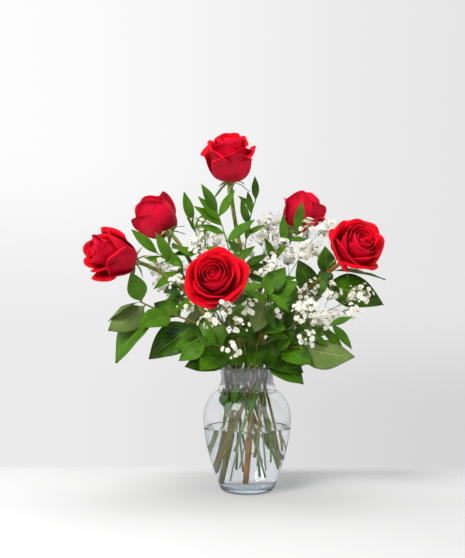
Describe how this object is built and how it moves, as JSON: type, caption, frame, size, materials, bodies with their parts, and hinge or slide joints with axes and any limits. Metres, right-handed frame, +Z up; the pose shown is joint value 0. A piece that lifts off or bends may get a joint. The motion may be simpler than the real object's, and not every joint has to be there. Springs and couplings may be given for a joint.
{
  "type": "vase of cut roses",
  "caption": "Clear glass vase of water holding a bouquet of red roses with broad and narrow green leaves and clouds of small white flowers.",
  "frame": {"origin": "centre of the vase's base, on the surface that it stands on", "axes": "+Z up along the vase's axis, -Y towards the side that the bouquet faces, +X to the right seen from there"},
  "size_m": [0.4739, 0.3101, 0.5602],
  "materials": {
    "glass": "clear, polished",
    "water": "clear liquid",
    "rose_stem": "waxy green bark with thorns",
    "calyx": "matt, fine down",
    "outer_petals": "velvety, silkier on the back",
    "inner_petals": "velvety",
    "salal": "leathery, glossy on top",
    "ruscus": "satin",
    "gypsophila": "matt white florets on thin green twigs"
  },
  "bodies": {
    "root": {"vase": "glass", "water": "water", "rose_1_stem": "rose_stem", "rose_1_calyx": "calyx", "rose_1_outer_petals": "outer_petals", "rose_1_inner_petals": "inner_petals", "rose_2_stem": "rose_stem", "rose_2_calyx": "calyx", "rose_2_outer_petals": "outer_petals", "rose_2_inner_petals": "inner_petals", "rose_3_stem": "rose_stem", "rose_3_calyx": "calyx", "rose_3_outer_petals": "outer_petals", "rose_3_inner_petals": "inner_petals", "rose_4_stem": "rose_stem", "rose_4_calyx": "calyx", "rose_4_outer_petals": "outer_petals", "rose_4_inner_petals": "inner_petals", "rose_5_stem": "rose_stem", "rose_5_calyx": "calyx", "rose_5_outer_petals": "outer_petals", "rose_5_inner_petals": "inner_petals", "rose_6_stem": "rose_stem", "rose_6_calyx": "calyx", "rose_6_outer_petals": "outer_petals", "rose_6_inner_petals": "inner_petals", "salal_1": "salal", "salal_2": "salal", "salal_3": "salal", "salal_4": "salal", "salal_5": "salal", "salal_6": "salal", "salal_7": "salal", "ruscus_1": "ruscus", "ruscus_2": "ruscus", "ruscus_3": "ruscus", "ruscus_4": "ruscus", "ruscus_5": "ruscus", "ruscus_6": "ruscus", "ruscus_7": "ruscus", "ruscus_8": "ruscus", "gypsophila_1": "gypsophila", "gypsophila_2": "gypsophila", "gypsophila_3": "gypsophila", "gypsophila_4": "gypsophila", "gypsophila_5": "gypsophila", "gypsophila_6": "gypsophila", "gypsophila_7": "gypsophila", "gypsophila_8": "gypsophila"}
  },
  "joints": []
}
